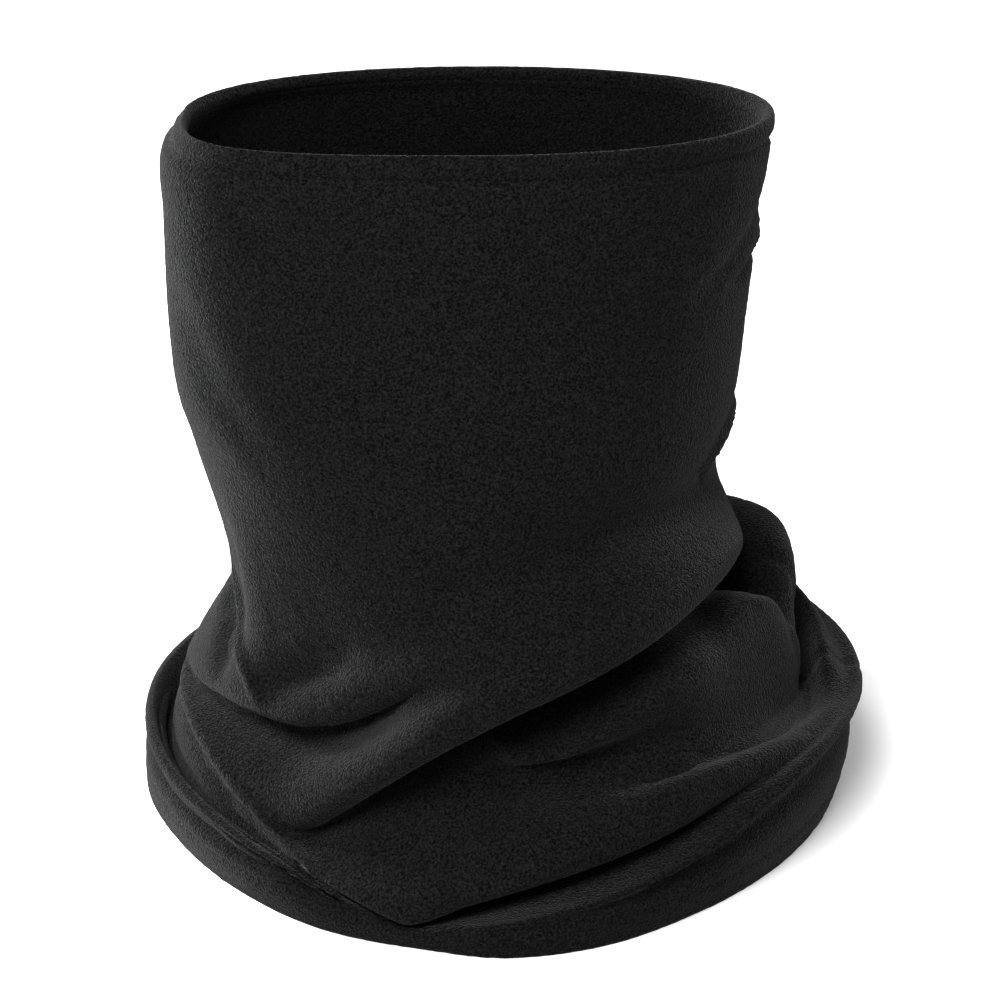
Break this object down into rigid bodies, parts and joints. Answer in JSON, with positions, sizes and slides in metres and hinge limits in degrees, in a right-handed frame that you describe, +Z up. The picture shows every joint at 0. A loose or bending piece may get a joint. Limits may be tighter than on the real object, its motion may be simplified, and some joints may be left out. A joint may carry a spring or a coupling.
{
  "type": "neck gaiter",
  "caption": "Two-layer fleece neck gaiter: a flared tube standing on its hem, slumped into folds below, open from the hem to an oval mouth.",
  "frame": {"origin": "on the floor, under the middle of the gaiter's box", "axes": "+Z up from the hem to the mouth, -Y the front, +X to the right seen from the front"},
  "size_m": [0.2653, 0.255, 0.254],
  "materials": {
    "shell_fleece": "matt micro-fleece",
    "lining_fleece": "matt micro-fleece",
    "thread": "spun polyester sewing thread"
  },
  "bodies": {
    "root": {"shell": "shell_fleece", "lining": "lining_fleece", "shell_seam": "thread", "lining_seam": "thread", "mouth_needle_thread": "thread", "mouth_bobbin_thread": "thread", "hem_needle_thread": "thread", "hem_bobbin_thread": "thread"}
  },
  "joints": []
}
